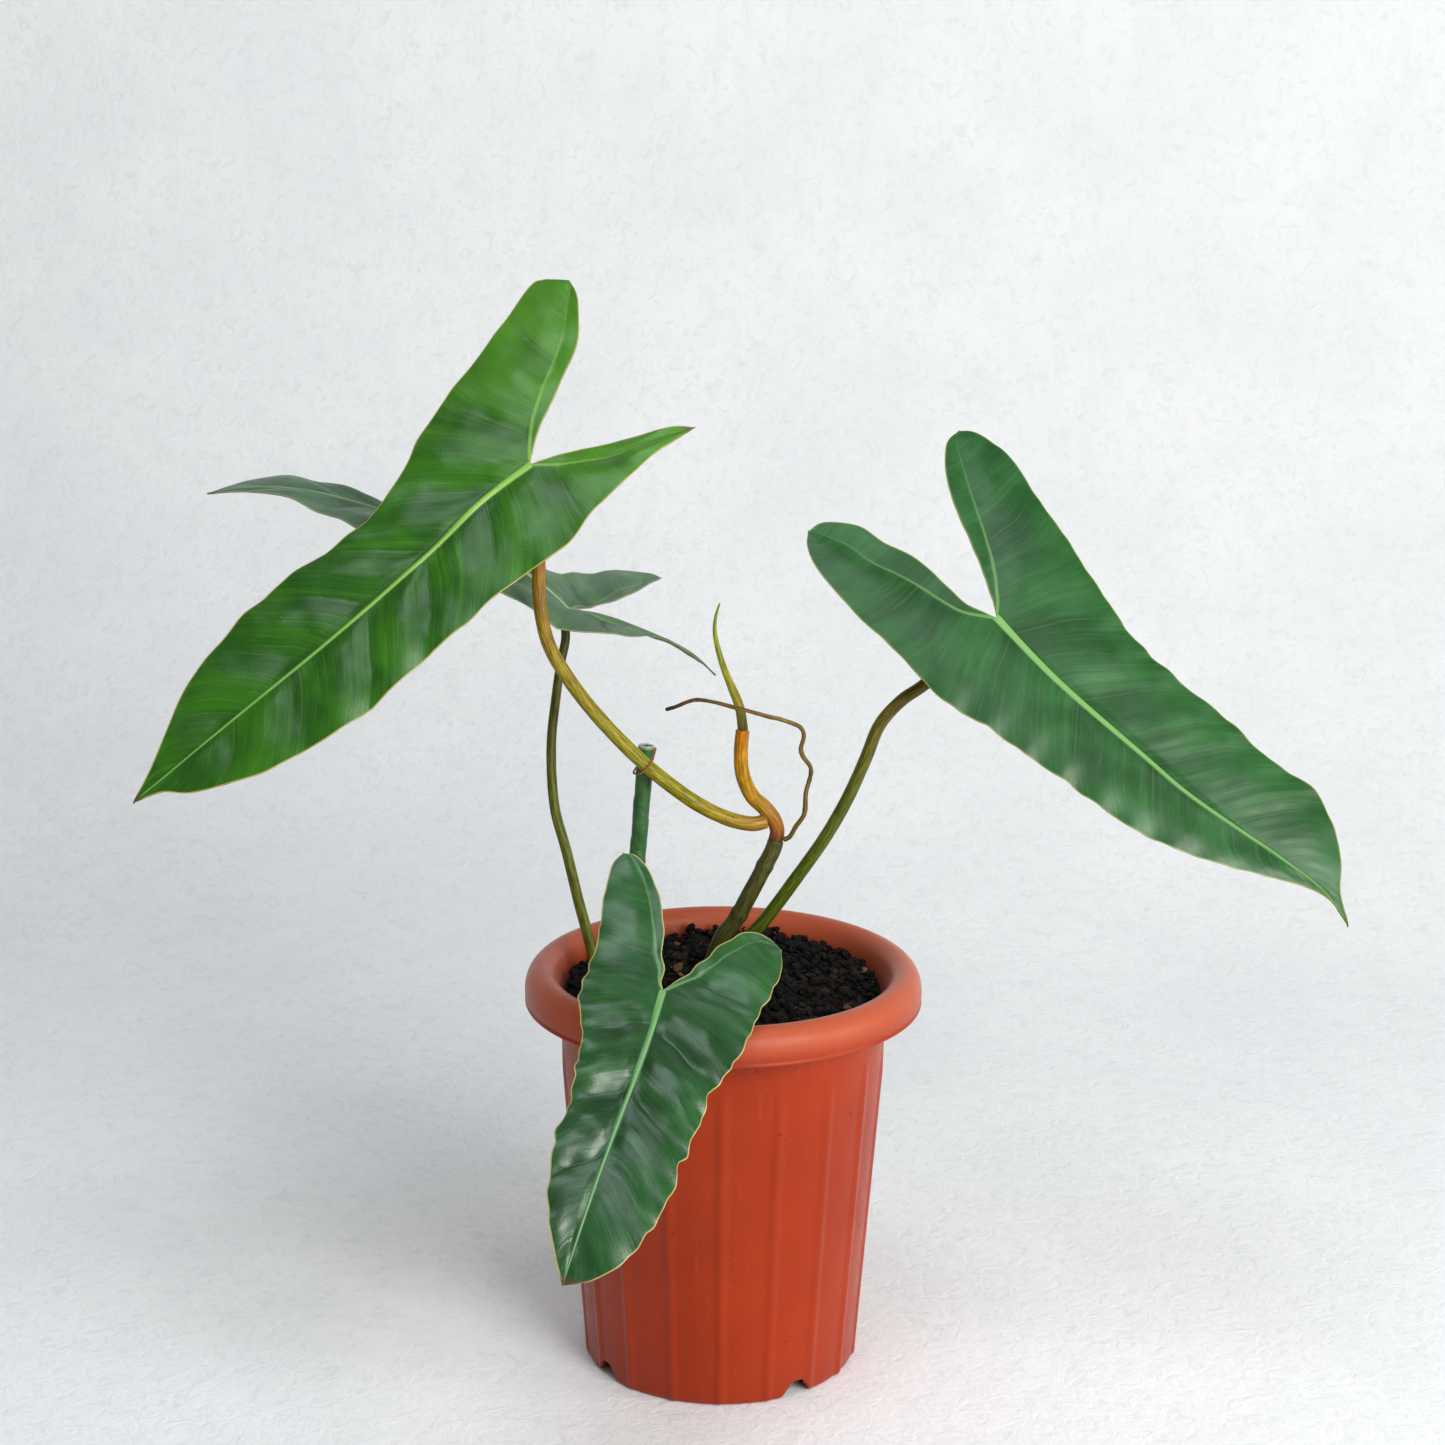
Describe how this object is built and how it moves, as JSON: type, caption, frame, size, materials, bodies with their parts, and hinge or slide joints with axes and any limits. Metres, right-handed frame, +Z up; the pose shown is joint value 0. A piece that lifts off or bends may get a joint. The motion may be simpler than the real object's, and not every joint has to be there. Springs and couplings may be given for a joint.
{
  "type": "potted billietiae x atabapoense philodendron",
  "caption": "Potted philodendron with long arrow-shaped glossy leaves on arching stalks, a rolled new leaf and a support stake, in a ridged round grow pot filled with soil.",
  "frame": {"origin": "centre of the pot's flat underside", "axes": "+Z up through the pot, -Y towards the front leaf that hangs over the rim, +X towards the right-hand leaf"},
  "size_m": [0.4661, 0.2407, 0.4339],
  "materials": {
    "pot_plastic": "satin",
    "soil": "matte",
    "stem": "satin",
    "petiole_left": "satin",
    "leaf_left": "gloss",
    "petiole_right": "satin",
    "leaf_right": "gloss",
    "petiole_front": "satin",
    "leaf_front": "gloss",
    "petiole_back": "satin",
    "leaf_back": "satin",
    "sheath": "satin",
    "new_leaf": "satin",
    "aerial_root": "matte",
    "stake_tape": "satin",
    "tie_cord": "matte"
  },
  "bodies": {
    "root": {"pot": "pot_plastic", "soil": "soil", "stem_and_roots": "stem", "petiole_left": "petiole_left", "leaf_left": "leaf_left", "petiole_right": "petiole_right", "leaf_right": "leaf_right", "petiole_front": "petiole_front", "leaf_front": "leaf_front", "petiole_back": "petiole_back", "leaf_back": "leaf_back", "shoot_sheath": "sheath", "new_leaf_spike": "new_leaf", "aerial_root": "aerial_root", "support_stake": "stake_tape", "stalk_tie": "tie_cord"}
  },
  "joints": []
}
